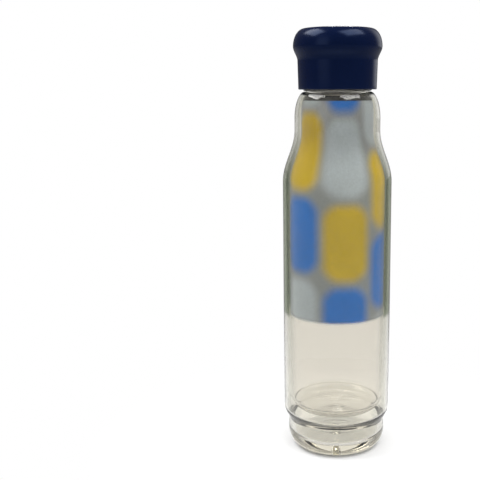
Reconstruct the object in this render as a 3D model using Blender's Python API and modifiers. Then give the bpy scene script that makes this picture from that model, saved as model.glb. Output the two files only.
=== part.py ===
"""Double-wall glass tea bottle with a screw lid and a perforated infuser that hangs from the lid.

Metres, +Z up. The origin is the middle of the ring that the bottle stands on.
Every piece is turned about Z, so every joint axis is the Z axis.
"""

from math import cos, pi, radians, sin, sqrt

import bmesh
import bpy
from mathutils import Matrix, Vector

MM = 0.001

# Clearances that the pieces share, how far a cutter runs past, and points that count as one
SEAT_GAP = 0.3 * MM
OVERRUN = 1.0 * MM
SAME_POINT = 0.01 * MM

# Mouth and neck of the inner glass: the lid and the infuser take their sizes from these
NECK_RADIUS = 20.0 * MM
NECK_WALL = 2.0 * MM
LIP_ROUND = 0.8 * MM
FINISH_HEIGHT = 13.5 * MM
BEAD_STAND = 1.7 * MM
BEAD_HEIGHT = 3.0 * MM
BEAD_ROUND = 1.0 * MM
NECK_TUBE_LENGTH = 2.5 * MM

# Outer glass
BODY_RADIUS = 35.0 * MM
BODY_LENGTH = 150.0 * MM
SHOULDER_LENGTH = 33.0 * MM
COLLAR_OVERHANG = 7.3 * MM
COLLAR_LENGTH = 7.0 * MM
CROWN_HEIGHT = 17.1 * MM
CROWN_FLAT = 0.6 * MM
OUTER_WALL = 1.8 * MM
FOOT_RADIUS = 32.0 * MM
FOOT_WALL = 4.0 * MM
FOOT_HEIGHT = 17.5 * MM
FOOT_ROUND_WIDTH = 8.0 * MM
FOOT_ROUND_HEIGHT = 12.0 * MM
STEP_HEIGHT = 9.0 * MM
REST_RING_WIDTH = 3.6 * MM
PUSH_UP = 1.6 * MM
BASE_THICKNESS = 6.0 * MM
BASE_CORNER = 4.5 * MM

# Inner glass below its neck
VACUUM_GAP = 2.6 * MM
INNER_WALL = 1.8 * MM
COLLAR_GAP = 2.6 * MM
INNER_CROWN_HEIGHT = 12.0 * MM
INNER_SHOULDER_DROP = 1.0 * MM
VESSEL_DROP = 1.5 * MM
VESSEL_CORNER = 10.0 * MM

# Glass bead that closes the evacuation hole in the base
TIP_RADIUS = 1.7 * MM
TIP_HEAD_RADIUS = 3.2 * MM
TIP_HEAD_HEIGHT = 0.9 * MM

# Lid shell
SKIRT_LIFT = 1.2 * MM
SKIRT_WALL = 1.2 * MM
SKIRT_DRAFT = 0.5 * MM
SKIRT_HEIGHT = 17.7 * MM
SKIRT_CHAMFER = 0.6 * MM
CAP_OVERHANG = 3.3 * MM
CAP_FLARE_HEIGHT = 9.0 * MM
CAP_ROUND_HEIGHT = 10.9 * MM
CAP_ROUND_WIDTH = 7.0 * MM
CAP_WALL = 1.8 * MM
CAVITY_RISE = 2.4 * MM

# Lid liner
BEAD_CLEARANCE = 0.4 * MM
LINER_WALL = 1.2 * MM
LINER_RECESS = 0.6 * MM
LINER_CHAMFER = 0.5 * MM
CEILING_THICKNESS = 2.2 * MM
SNAP_DEPTH = 0.6 * MM
SNAP_HEIGHT = 1.2 * MM
BOSS_CLEARANCE = 0.7 * MM
BOSS_WALL = 2.8 * MM
BOSS_LENGTH = 8.0 * MM
BOSS_CHAMFER = 0.5 * MM

# Silicone pieces
GASKET_THICKNESS = 1.8 * MM
GASKET_ROUND = 0.5 * MM
GRIP_DEPTH = 1.4 * MM
GRIP_HEIGHT = 1.8 * MM
GRIP_DROP = 2.6 * MM

# Infuser
COLLAR_STEEL = 0.6 * MM
RIB_STAND = 0.5 * MM
RIB_HEIGHT = 1.6 * MM
RIB_SPACING = 2.7 * MM
RIB_COUNT = 3
BORE_CLEARANCE = 0.6 * MM
COLLAR_REACH = 5.4 * MM
BASKET_WALL = 0.5 * MM
BASKET_LENGTH = 39.0 * MM
BASKET_OVERLAP = 6.0 * MM
END_RING_WALL = 0.5 * MM
END_RING_HEIGHT = 3.0 * MM
END_RING_ROUND = 0.9 * MM
END_RING_LEDGE = 1.3 * MM
MESH_THICKNESS = 0.6 * MM

# Perforations
HOLE_RADIUS = 0.6 * MM
HOLE_COLUMNS = 22
HOLE_ROWS = 9
HOLE_ROW_SPACING = 3.2 * MM
HOLE_TOP_MARGIN = 2.6 * MM
MESH_HOLE_RADIUS = 0.75 * MM
MESH_HOLE_RINGS = 4
MESH_MARGIN = 0.8 * MM
HOLE_SIDES = 6

# Faces round a turned piece: the basket has two to a column, so that each hole lies in one face
SEGMENTS = 32
BASKET_SEGMENTS = 2 * HOLE_COLUMNS
TIP_SEGMENTS = 12
SMOOTH_ANGLE = radians(35)

# Heights and radii that follow from the sizes above
STEP_TOP = FOOT_HEIGHT + STEP_HEIGHT
BODY_TOP = STEP_TOP + BODY_LENGTH
SHOULDER_TOP = BODY_TOP + SHOULDER_LENGTH
CROWN_BASE = SHOULDER_TOP + COLLAR_LENGTH
CROWN_TOP = CROWN_BASE + CROWN_HEIGHT
COLLAR_RADIUS = NECK_RADIUS + COLLAR_OVERHANG
BASE_TOP = PUSH_UP + BASE_THICKNESS

BEAD_RADIUS = NECK_RADIUS + BEAD_STAND
BEAD_BASE = CROWN_TOP + SEAT_GAP
BEAD_TOP = BEAD_BASE + BEAD_HEIGHT
MOUTH_TOP = BEAD_TOP + FINISH_HEIGHT
BORE_RADIUS = NECK_RADIUS - NECK_WALL
NECK_TUBE_BASE = CROWN_TOP - NECK_TUBE_LENGTH
INNER_CROWN_BASE = NECK_TUBE_BASE - INNER_CROWN_HEIGHT
INNER_SHOULDER_BASE = BODY_TOP - INNER_SHOULDER_DROP
INNER_SHOULDER_TOP = SHOULDER_TOP - INNER_SHOULDER_DROP
INNER_COLLAR_RADIUS = COLLAR_RADIUS - OUTER_WALL - COLLAR_GAP
VESSEL_RADIUS = BODY_RADIUS - OUTER_WALL - VACUUM_GAP
VESSEL_BASE = STEP_TOP - VESSEL_DROP
VESSEL_FLOOR = VESSEL_BASE + INNER_WALL

LINER_BORE = BEAD_RADIUS + BEAD_CLEARANCE
LINER_RADIUS = LINER_BORE + LINER_WALL
SHELL_BORE = LINER_RADIUS + SEAT_GAP
SKIRT_RADIUS = SHELL_BORE + SKIRT_WALL
CAP_RADIUS = SKIRT_RADIUS + CAP_OVERHANG
LID_BASE = CROWN_TOP + SKIRT_LIFT
SKIRT_TOP = LID_BASE + SKIRT_HEIGHT
FLARE_TOP = SKIRT_TOP + CAP_FLARE_HEIGHT
CAP_TOP = FLARE_TOP + CAP_ROUND_HEIGHT

GASKET_BASE = MOUTH_TOP + SEAT_GAP
GASKET_TOP = GASKET_BASE + GASKET_THICKNESS
CEILING_BASE = GASKET_TOP + SEAT_GAP
CEILING_TOP = CEILING_BASE + CEILING_THICKNESS
LINER_BASE = LID_BASE + LINER_RECESS
SNAP_RADIUS = SHELL_BORE + SNAP_DEPTH
SNAP_BASE = CEILING_TOP - SNAP_HEIGHT
CAVITY_RADIUS = SNAP_RADIUS + SEAT_GAP

COLLAR_SLEEVE_RADIUS = BORE_RADIUS - BORE_CLEARANCE - RIB_STAND
COLLAR_INNER_RADIUS = COLLAR_SLEEVE_RADIUS - COLLAR_STEEL
COLLAR_TOP = CEILING_BASE - SEAT_GAP
COLLAR_BASE = LID_BASE - COLLAR_REACH
BASKET_RADIUS = COLLAR_INNER_RADIUS - SEAT_GAP
BASKET_TOP = COLLAR_BASE + BASKET_OVERLAP
INFUSER_END = COLLAR_BASE - BASKET_LENGTH
END_LEDGE_TOP = INFUSER_END + END_RING_WALL
BASKET_BASE = END_LEDGE_TOP + SEAT_GAP
BASKET_BORE = BASKET_RADIUS - BASKET_WALL
END_LEDGE_BORE = BASKET_BORE - END_RING_LEDGE
MESH_HOLE_PITCH = (END_LEDGE_BORE - MESH_MARGIN - MESH_HOLE_RADIUS) / MESH_HOLE_RINGS
BOSS_RADIUS = COLLAR_INNER_RADIUS - BOSS_CLEARANCE
BOSS_BASE = CEILING_BASE - BOSS_LENGTH
GRIP_OUTER = COLLAR_INNER_RADIUS - SEAT_GAP
GRIP_INNER = GRIP_OUTER - GRIP_DEPTH
GRIP_TOP = CEILING_BASE - GRIP_DROP
GRIP_BASE = GRIP_TOP - GRIP_HEIGHT
GROOVE_RADIUS = GRIP_INNER - SEAT_GAP


def arc(centre, size, start, end, count):
    """Points on an ellipse about centre, half-sizes in size, between two angles in degrees."""
    points = []
    for step in range(count + 1):
        angle = radians(start + (end - start) * step / count)
        points.append((centre[0] + size[0] * cos(angle), centre[1] + size[1] * sin(angle)))
    return points


def s_curve(start, end, count):
    """Points of a smooth S between two points, which leaves and arrives along Z."""
    points = []
    for step in range(count + 1):
        share = step / count
        turn = (1 - cos(pi * share)) / 2
        points.append((start[0] + (end[0] - start[0]) * turn, start[1] + (end[1] - start[1]) * share))
    return points


def clean_scene():
    """Empties the scene, so that the script can be run again."""
    for old in list(bpy.data.objects):
        bpy.data.objects.remove(old, do_unlink=True)
    for old in list(bpy.data.collections):
        bpy.data.collections.remove(old)


def collection(name):
    """A new collection in the scene."""
    made = bpy.data.collections.new(name)
    bpy.context.scene.collection.children.link(made)
    return made


def material(name, colour, roughness, metallic=0.0, transmission=0.0, ior=1.45):
    """A Principled BSDF material."""
    made = bpy.data.materials.new(name)
    made.use_nodes = True
    shader = made.node_tree.nodes["Principled BSDF"]
    shader.inputs["Base Color"].default_value = (*colour, 1.0)
    shader.inputs["Roughness"].default_value = roughness
    shader.inputs["Metallic"].default_value = metallic
    shader.inputs["Transmission Weight"].default_value = transmission
    shader.inputs["IOR"].default_value = ior
    made.diffuse_color = (*colour, 1.0)
    return made


def clear_glass(name):
    """Borosilicate glass."""
    return material(name, (0.93, 0.95, 0.93), 0.03, transmission=1.0, ior=1.47)


def stainless(name, roughness):
    """Stainless steel sheet."""
    return material(name, (0.56, 0.55, 0.52), roughness, metallic=1.0)


def joint_empty(name, height, group, parent=None):
    """An empty on the Z axis that carries the pieces of one moving body."""
    empty = bpy.data.objects.new(name, None)
    group.objects.link(empty)
    empty.location = (0, 0, height)
    if parent:
        empty.parent = parent
        empty.location.z -= parent.matrix_world.translation.z
    bpy.context.view_layer.update()
    return empty


def put_on_axis(thing, height, parent):
    """Sets a piece's origin on the Z axis at a height in the world, under its joint's empty."""
    thing.location = (0, 0, height)
    if parent:
        thing.parent = parent
        thing.location.z -= parent.matrix_world.translation.z


def turned(name, outline, finish, group, parent=None, closed=True, segments=SEGMENTS):
    """A piece turned about Z. The outline's (radius, height) points run down its outer side.

    A closed outline makes a ring. An open one starts and ends on the axis.
    """
    datum = min(height for _, height in outline)
    mesh = bpy.data.meshes.new(name)
    points = [(radius, 0, height - datum) for radius, height in outline]
    edges = [(index, index + 1) for index in range(len(points) - 1)]
    if closed:
        edges.append((len(points) - 1, 0))
    mesh.from_pydata(points, edges, [])
    piece = bpy.data.objects.new(name, mesh)
    group.objects.link(piece)
    screw = piece.modifiers.new("Turn", "SCREW")
    screw.steps = segments
    screw.render_steps = segments
    screw.use_merge_vertices = True
    screw.merge_threshold = SAME_POINT
    settle(piece)
    piece.data.materials.append(finish)
    put_on_axis(piece, datum, parent)
    return piece


def settle(piece):
    """Turns a piece's modifiers into its mesh, shaded smooth but for its corners."""
    evaluated = piece.evaluated_get(bpy.context.evaluated_depsgraph_get())
    profile = piece.data
    piece.data = bpy.data.meshes.new_from_object(evaluated)
    piece.data.name = piece.name
    piece.modifiers.clear()
    bpy.data.meshes.remove(profile)
    piece.data.shade_smooth()
    piece.data.set_sharp_from_angle(angle=SMOOTH_ANGLE)


def hole_cutter(name, places, radius, depth, group):
    """One cutter made of pegs. Each place is a peg's centre and the direction it points in."""
    mesh = bpy.data.meshes.new(name)
    shape = bmesh.new()
    for centre, direction in places:
        turn = direction.to_track_quat("Z", "Y").to_matrix().to_4x4()
        bmesh.ops.create_cone(
            shape, cap_ends=True, segments=HOLE_SIDES, radius1=radius, radius2=radius, depth=depth,
            matrix=Matrix.Translation(centre) @ turn)
    shape.to_mesh(mesh)
    shape.free()
    cutter = bpy.data.objects.new(name, mesh)
    group.objects.link(cutter)
    cutter.hide_render = True
    cutter.display_type = "WIRE"
    return cutter


def cut(piece, cutter):
    """Takes the cutter's shape out of a piece. The cutter lies under the same parent."""
    cutter.parent = piece
    boolean = piece.modifiers.new("Holes", "BOOLEAN")
    boolean.operation = "DIFFERENCE"
    boolean.object = cutter


def outer_glass(group):
    """The outside of the bottle: crown, collar, shoulder, body, stepped foot and thick base."""
    neck = NECK_RADIUS + SEAT_GAP
    flat = NECK_RADIUS + CROWN_FLAT
    round_width = COLLAR_OVERHANG - CROWN_FLAT
    ring_outer = FOOT_RADIUS - FOOT_ROUND_WIDTH
    ring_inner = ring_outer - REST_RING_WIDTH
    hole = TIP_RADIUS + SEAT_GAP
    foot_bore = FOOT_RADIUS - FOOT_WALL
    body_bore = BODY_RADIUS - OUTER_WALL
    collar_bore = COLLAR_RADIUS - OUTER_WALL
    outline = [(neck, CROWN_TOP)]
    outline += arc((flat, CROWN_BASE), (round_width, CROWN_HEIGHT), 90, 0, 4)
    outline += s_curve((COLLAR_RADIUS, SHOULDER_TOP), (BODY_RADIUS, BODY_TOP), 5)
    outline += s_curve((BODY_RADIUS, STEP_TOP), (FOOT_RADIUS, FOOT_HEIGHT), 3)
    outline += arc((ring_outer, FOOT_ROUND_HEIGHT), (FOOT_ROUND_WIDTH, FOOT_ROUND_HEIGHT), 0, -90, 5)
    outline += [(ring_inner, 0), (hole, PUSH_UP), (hole, BASE_TOP)]
    outline += arc((foot_bore - BASE_CORNER, BASE_TOP + BASE_CORNER), (BASE_CORNER, BASE_CORNER), -90, 0, 3)
    outline += s_curve((foot_bore, FOOT_HEIGHT), (body_bore, STEP_TOP), 3)
    outline += s_curve((body_bore, BODY_TOP), (collar_bore, SHOULDER_TOP), 5)
    outline += arc((flat, CROWN_BASE), (round_width - OUTER_WALL, CROWN_HEIGHT - OUTER_WALL), 0, 90, 3)
    outline.append((neck, CROWN_TOP - OUTER_WALL))
    return turned("outer_glass", outline, clear_glass("outer_glass"), group)


def inner_shoulder(neck_radius, depth):
    """The inner glass from its neck, over its own crown, down to the vessel, at a depth into its wall."""
    collar = INNER_COLLAR_RADIUS - depth
    crown = arc((neck_radius, INNER_CROWN_BASE), (collar - neck_radius, INNER_CROWN_HEIGHT), 90, 0, 4)
    return crown + s_curve(
        (collar, INNER_SHOULDER_TOP), (VESSEL_RADIUS - depth, INNER_SHOULDER_BASE), 5)


def inner_glass(group):
    """The vessel that holds the drink, with the mouth, the bead and the neck that the lid screws on."""
    corner = VESSEL_CORNER - INNER_WALL
    corner_centre = (VESSEL_RADIUS - VESSEL_CORNER, VESSEL_BASE + VESSEL_CORNER)
    outline = [(0, VESSEL_FLOOR)]
    outline += arc(corner_centre, (corner, corner), -90, 0, 5)
    outline += reversed(inner_shoulder(BORE_RADIUS, INNER_WALL))
    outline += arc((BORE_RADIUS + LIP_ROUND, MOUTH_TOP - LIP_ROUND), (LIP_ROUND, LIP_ROUND), 180, 90, 2)
    outline += arc((NECK_RADIUS - LIP_ROUND, MOUTH_TOP - LIP_ROUND), (LIP_ROUND, LIP_ROUND), 90, 0, 2)
    outline.append((NECK_RADIUS, BEAD_TOP))
    outline += arc((BEAD_RADIUS - BEAD_ROUND, BEAD_TOP - BEAD_ROUND), (BEAD_ROUND, BEAD_ROUND), 90, 0, 2)
    outline += arc((BEAD_RADIUS - BEAD_ROUND, BEAD_BASE + BEAD_ROUND), (BEAD_ROUND, BEAD_ROUND), 0, -90, 2)
    outline.append((NECK_RADIUS, BEAD_BASE))
    outline += inner_shoulder(NECK_RADIUS, 0)
    outline += arc(corner_centre, (VESSEL_CORNER, VESSEL_CORNER), 0, -90, 5)
    outline.append((0, VESSEL_BASE))
    return turned("inner_glass", outline, clear_glass("inner_glass"), group, closed=False)


def evacuation_seal(group):
    """The bead of glass that fills the hole in the base and spreads under it, inside the push-up."""
    head_top = PUSH_UP - SEAT_GAP
    outline = [(0, BASE_TOP), (TIP_RADIUS, BASE_TOP), (TIP_RADIUS, head_top)]
    outline += arc((0, head_top), (TIP_HEAD_RADIUS, TIP_HEAD_HEIGHT), 0, -90, 3)
    return turned(
        "evacuation_seal", outline, clear_glass("evacuation_seal"), group, closed=False, segments=TIP_SEGMENTS)


def lid_shell(group, parent):
    """The navy mushroom cap: a drafted skirt that flares into a rounded, flat-topped head."""
    skirt_top_radius = SKIRT_RADIUS + SKIRT_DRAFT
    round_centre = (CAP_RADIUS - CAP_ROUND_WIDTH, FLARE_TOP)
    round_size = (CAP_ROUND_WIDTH, CAP_ROUND_HEIGHT)
    inner_round_size = (CAP_ROUND_WIDTH - CAP_WALL, CAP_ROUND_HEIGHT - CAP_WALL)
    ledge = SNAP_BASE - SEAT_GAP
    outline = [(0, CAP_TOP)]
    outline += arc(round_centre, round_size, 90, 0, 6)
    outline += reversed(s_curve((skirt_top_radius, SKIRT_TOP), (CAP_RADIUS, FLARE_TOP), 6)[:-1])
    outline += [
        (SKIRT_RADIUS, LID_BASE + SKIRT_CHAMFER),
        (SKIRT_RADIUS - SKIRT_CHAMFER, LID_BASE),
        (SHELL_BORE, LID_BASE),
        (SHELL_BORE, ledge),
        (CAVITY_RADIUS, ledge),
    ]
    outline += s_curve((CAVITY_RADIUS, SNAP_BASE + CAVITY_RISE), (CAP_RADIUS - CAP_WALL, FLARE_TOP), 4)
    outline += arc(round_centre, inner_round_size, 0, 90, 4)[1:]
    outline.append((0, CAP_TOP - CAP_WALL))
    finish = material("lid_shell", (0.004, 0.008, 0.032), 0.18)
    return turned("lid_shell", outline, finish, group, parent, closed=False)


def lid_liner(group, parent):
    """The black liner: its snap rim holds it in the shell, and its boss holds the infuser."""
    boss_bore = BOSS_RADIUS - BOSS_WALL
    groove_top = GRIP_TOP + SEAT_GAP
    groove_base = GRIP_BASE - SEAT_GAP
    outline = [
        (0, CEILING_TOP),
        (SNAP_RADIUS - SNAP_DEPTH, CEILING_TOP),
        (SNAP_RADIUS, CEILING_TOP - SNAP_DEPTH),
        (SNAP_RADIUS, SNAP_BASE),
        (LINER_RADIUS, SNAP_BASE),
        (LINER_RADIUS, LINER_BASE),
        (LINER_BORE + LINER_CHAMFER, LINER_BASE),
        (LINER_BORE, LINER_BASE + LINER_CHAMFER),
        (LINER_BORE, CEILING_BASE),
        (BOSS_RADIUS, CEILING_BASE),
        (BOSS_RADIUS, groove_top),
        (GROOVE_RADIUS, groove_top),
        (GROOVE_RADIUS, groove_base),
        (BOSS_RADIUS, groove_base),
        (BOSS_RADIUS, BOSS_BASE + BOSS_CHAMFER),
        (BOSS_RADIUS - BOSS_CHAMFER, BOSS_BASE),
        (boss_bore, BOSS_BASE),
        (boss_bore, CEILING_BASE),
        (0, CEILING_BASE),
    ]
    finish = material("lid_liner", (0.012, 0.012, 0.014), 0.45)
    return turned("lid_liner", outline, finish, group, parent, closed=False)


def lid_gasket(group, parent):
    """The flat silicone ring between the mouth of the glass and the liner's ceiling."""
    inner = BORE_RADIUS
    outer = LINER_BORE - SEAT_GAP
    outline = [
        (outer - GASKET_ROUND, GASKET_TOP),
        (outer, GASKET_TOP - GASKET_ROUND),
        (outer, GASKET_BASE + GASKET_ROUND),
        (outer - GASKET_ROUND, GASKET_BASE),
        (inner + GASKET_ROUND, GASKET_BASE),
        (inner, GASKET_BASE + GASKET_ROUND),
        (inner, GASKET_TOP - GASKET_ROUND),
        (inner + GASKET_ROUND, GASKET_TOP),
    ]
    finish = material("lid_gasket", (0.62, 0.62, 0.60), 0.5)
    return turned("lid_gasket", outline, finish, group, parent)


def grip_ring(group, parent):
    """The silicone ring in the boss's groove, which grips the infuser's collar."""
    centre = ((GRIP_OUTER + GRIP_INNER) / 2, (GRIP_TOP + GRIP_BASE) / 2)
    outline = arc(centre, (GRIP_DEPTH / 2, GRIP_HEIGHT / 2), 90, -270, 6)[:-1]
    finish = material("grip_ring", (0.62, 0.62, 0.60), 0.5)
    return turned("grip_ring", outline, finish, group, parent)


def infuser_collar(group, parent):
    """The steel sleeve that pushes onto the liner's boss, with rolled ribs at its lower end."""
    lip = COLLAR_STEEL / 2
    outline = [(COLLAR_SLEEVE_RADIUS - lip, COLLAR_TOP), (COLLAR_SLEEVE_RADIUS, COLLAR_TOP - lip)]
    for index in reversed(range(RIB_COUNT)):
        middle = COLLAR_BASE + lip + RIB_HEIGHT / 2 + index * RIB_SPACING
        outline += arc((COLLAR_SLEEVE_RADIUS, middle), (RIB_STAND, RIB_HEIGHT / 2), 90, -90, 3)
    outline += [
        (COLLAR_SLEEVE_RADIUS, COLLAR_BASE + lip),
        (COLLAR_SLEEVE_RADIUS - lip, COLLAR_BASE),
        (COLLAR_INNER_RADIUS, COLLAR_BASE),
        (COLLAR_INNER_RADIUS, COLLAR_TOP),
    ]
    return turned("infuser_collar", tidy(outline), stainless("infuser_collar", 0.16), group, parent)


def tidy(outline):
    """The outline without points that fall on the one before."""
    kept = []
    for point in outline:
        if not kept or (Vector(point) - Vector(kept[-1])).length > SAME_POINT:
            kept.append(point)
    return kept


def infuser_basket(group, cutters, parent):
    """The perforated steel tube: columns of round holes with a plain band at each end."""
    outline = [
        (BASKET_RADIUS, BASKET_TOP),
        (BASKET_RADIUS, BASKET_BASE),
        (BASKET_BORE, BASKET_BASE),
        (BASKET_BORE, BASKET_TOP),
    ]
    tube = turned(
        "infuser_basket", outline, stainless("infuser_basket", 0.22), group, parent, segments=BASKET_SEGMENTS)
    depth = BASKET_WALL + 2 * OVERRUN
    middle = BASKET_RADIUS - BASKET_WALL / 2
    places = []
    for column in range(HOLE_COLUMNS):
        angle = 2 * pi * (column + 0.25) / HOLE_COLUMNS
        direction = Vector((cos(angle), sin(angle), 0))
        for row in range(HOLE_ROWS):
            height = COLLAR_BASE - HOLE_TOP_MARGIN - row * HOLE_ROW_SPACING - BASKET_BASE
            places.append((direction * middle + Vector((0, 0, height)), direction))
    cut(tube, hole_cutter("basket_holes", places, HOLE_RADIUS, depth, cutters))
    return tube


def infuser_end_ring(group, parent):
    """The rolled rim that closes the basket's end and holds the mesh disc on its ledge."""
    sleeve_bore = BASKET_RADIUS + SEAT_GAP
    outer = sleeve_bore + END_RING_WALL
    top = INFUSER_END + END_RING_HEIGHT
    outline = [(outer, top)]
    outline += arc(
        (outer - END_RING_ROUND, INFUSER_END + END_RING_ROUND), (END_RING_ROUND, END_RING_ROUND), 0, -90, 3)
    outline += [
        (END_LEDGE_BORE, INFUSER_END),
        (END_LEDGE_BORE, END_LEDGE_TOP),
        (sleeve_bore, END_LEDGE_TOP),
        (sleeve_bore, top),
    ]
    return turned("infuser_end_ring", outline, stainless("infuser_end_ring", 0.16), group, parent)


def hexagon_places(pitch, rings, height):
    """Centres of a round patch of holes on a triangular grid, with the way that each points."""
    places = []
    for row in range(-rings, rings + 1):
        for column in range(-rings, rings + 1):
            if abs(row + column) <= rings:
                across = pitch * (column + row / 2)
                along = pitch * row * sqrt(3) / 2
                places.append((Vector((across, along, height)), Vector((0, 0, 1))))
    return places


def infuser_mesh(group, cutters, parent):
    """The perforated disc at the end of the basket."""
    radius = BASKET_BORE - SEAT_GAP
    base = BASKET_BASE
    top = base + MESH_THICKNESS
    outline = [(0, top), (radius, top), (radius, base), (0, base)]
    disc = turned(
        "infuser_mesh", outline, stainless("infuser_mesh", 0.35), group, parent, closed=False)
    places = hexagon_places(MESH_HOLE_PITCH, MESH_HOLE_RINGS, MESH_THICKNESS / 2)
    cut(disc, hole_cutter("mesh_holes", places, MESH_HOLE_RADIUS, MESH_THICKNESS + 2 * OVERRUN, cutters))
    return disc


def build():
    """Models the bottle at rest, with the lid screwed down and the infuser on its boss."""
    clean_scene()
    pieces = collection("glass_tea_bottle")
    cutters = collection("cutters")
    outer_glass(pieces)
    inner_glass(pieces)
    evacuation_seal(pieces)
    rise = joint_empty("lid_rise", MOUTH_TOP, pieces)
    lid_gasket(pieces, rise)
    turn = joint_empty("lid_turn", CEILING_BASE, pieces, rise)
    lid_shell(pieces, turn)
    lid_liner(pieces, turn)
    grip_ring(pieces, turn)
    pull = joint_empty("infuser_pull", COLLAR_BASE, pieces, turn)
    infuser_collar(pieces, pull)
    infuser_basket(pieces, cutters, pull)
    infuser_end_ring(pieces, pull)
    infuser_mesh(pieces, cutters, pull)


build()
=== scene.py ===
"""Looks of the double-wall glass tea bottle: fine meshes, materials, studio light and camera."""

from math import ceil, cos, exp, pi, radians, sin

import bpy
import numpy as np
from mathutils import Matrix, Vector


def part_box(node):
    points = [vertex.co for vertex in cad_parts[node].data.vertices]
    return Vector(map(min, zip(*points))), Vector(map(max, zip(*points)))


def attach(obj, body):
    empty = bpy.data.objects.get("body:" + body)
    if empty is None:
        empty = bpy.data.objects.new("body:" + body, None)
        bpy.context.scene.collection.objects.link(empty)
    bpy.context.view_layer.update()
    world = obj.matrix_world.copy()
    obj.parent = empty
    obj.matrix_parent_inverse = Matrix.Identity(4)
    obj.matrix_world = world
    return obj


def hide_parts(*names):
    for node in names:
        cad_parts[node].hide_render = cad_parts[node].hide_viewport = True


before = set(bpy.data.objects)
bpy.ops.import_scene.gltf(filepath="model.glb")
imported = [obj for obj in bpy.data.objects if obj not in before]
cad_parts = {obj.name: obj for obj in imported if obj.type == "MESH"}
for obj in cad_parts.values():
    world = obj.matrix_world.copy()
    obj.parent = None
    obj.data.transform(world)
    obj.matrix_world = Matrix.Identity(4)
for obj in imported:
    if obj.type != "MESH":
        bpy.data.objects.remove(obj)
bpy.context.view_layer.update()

MM = 0.001
# Segments round a turned piece, and how near to each other two points are the same
ROUND, CAP_SEGMENTS, RING_SEGMENTS, SEAL_SEGMENTS, SAME = 192, 256, 128, 48, 1e-4


def bottom_of(node):
    """A node's lowest height in millimetres."""
    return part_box(node)[0][2] / MM


def top_of(node):
    """A node's highest height in millimetres."""
    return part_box(node)[1][2] / MM


def radius_of(node):
    """A node's radius in millimetres."""
    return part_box(node)[1][0] / MM


# Room between pieces, small fillets and small chamfers, in millimetres like every size below
GAP, FILLET, CHAMFER = 0.3, 0.3, 0.2

# Outer glass
BODY_R, WALL = radius_of("outer_glass"), 1.8
FOOT_R, FOOT_WALL, FOOT_TOP, FOOT_ROUND = 32.0, 4.0, 17.5, (8.0, 12.0)
STEP_TOP = FOOT_TOP + 9.0
BODY_TOP = STEP_TOP + 150.0
SHOULDER_TOP = BODY_TOP + 33.0
COLLAR_R, CROWN_FLAT = 27.3, 20.6
CROWN_BASE = SHOULDER_TOP + 7.0
CROWN_TOP, CROWN_EDGE = top_of("outer_glass"), 0.15
PUSH_UP, BASE_TOP, BASE_CORNER, REST_RING = 1.6, 7.6, 4.5, 3.6
# Seal of the evacuation hole: its head, and radii and depths of its domed top
SEAL_R, SEAL_FILLET, SEAL_HEAD = 1.7, 0.35, (3.2, 0.9)
SEAL_DOME = ((0, 0.0), (1.3, 0.02), (SEAL_R, 0.4))

# Inner glass
VESSEL_R, VESSEL_BASE, VESSEL_CORNER = radius_of("inner_glass"), bottom_of("inner_glass"), 10.0
VESSEL_TOP, INNER_COLLAR_Z, INNER_COLLAR_R = BODY_TOP - 1.0, SHOULDER_TOP - 1.0, 22.9
NECK_BASE, NECK_R, BORE_R = CROWN_TOP - 2.5, 20.0, 18.0
INNER_CROWN_H = 12.0
INNER_CROWN_BASE = NECK_BASE - INNER_CROWN_H
MOUTH_TOP, LIP_ROUND, LIP_HEIGHT = top_of("inner_glass"), 0.8, 1.0
BEAD_R, BEAD_BASE, BEAD_TOP, BEAD_ROUND = 21.7, CROWN_TOP + GAP, CROWN_TOP + 3.3, 1.0
# Ripples in the floor of the vessel, and the mould ridge in its corner at a turn in degrees
RIPPLE_PITCH, RIPPLE_DEPTH, RIPPLE_STEPS = 2.6, 0.12, 10
RIDGE_HEIGHT, RIDGE_TURN, RIDGE_SPREAD = 0.75, -30.0, 2.8

# Three-start thread: crests stand out of the neck, and into the liner half a pitch away
LEAD, STARTS, THREAD_DEPTH = 12.0, 3, 1.3
PITCH = LEAD / STARTS
# Half a crest and its flank in pitches, the run-out at both ends, and the steps of the mesh
CREST_HALF, FLANK, RUN_OUT, THREAD_STEP = 0.215, 0.11, 1.4, 0.22
NECK_THREAD = (BEAD_TOP + 0.7, MOUTH_TOP - 1.6)
LINER_THREAD = (BEAD_TOP + 0.9, MOUTH_TOP - 1.2)

# Lid, with the radii and depths of the cap's dished top
LID_BASE, CAP_TOP = bottom_of("lid_shell"), top_of("lid_shell")
SKIRT_TOP, FLARE_TOP = LID_BASE + 17.7, CAP_TOP - 10.9
SKIRT_R, SKIRT_TOP_R, SKIRT_ROUND, CAP_R, CAP_ROUND, CAP_WALL = 24.8, 25.3, 0.6, 28.1, 7.0, 1.8
CAP_DISH = ((0, 0.25), (8.0, 0.22), (14.0, 0.12), (18.5, 0.02))
SHELL_BORE, CAVITY_R, CAVITY_RISE = 23.6, 24.5, 2.4
LINER_BORE, LINER_R, LINER_BASE = 22.1, 23.3, bottom_of("lid_liner")
LEAD_IN, PLAIN_BORE, CEILING_FILLET, SNAP_R, SNAP_CHAMFER, BOSS_ROUND = 0.5, 0.6, 0.4, 24.2, 0.6, 0.5
GASKET_BASE, GASKET_TOP = bottom_of("lid_gasket"), top_of("lid_gasket")
CEILING_BASE, CEILING_TOP = GASKET_TOP + GAP, top_of("lid_liner")
SNAP_BASE = CEILING_TOP - 1.2
BOSS_R, BOSS_BORE, BOSS_BASE = 15.6, 12.8, CEILING_BASE - 8.0
GRIP_BASE, GRIP_TOP = bottom_of("grip_ring"), top_of("grip_ring")
GRIP_OUT, GRIP_IN, GRIP_RIDGE, GRIP_INSET = 16.0, 14.6, 0.45, 0.5
GROOVE_R = GRIP_IN - GAP
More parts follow.
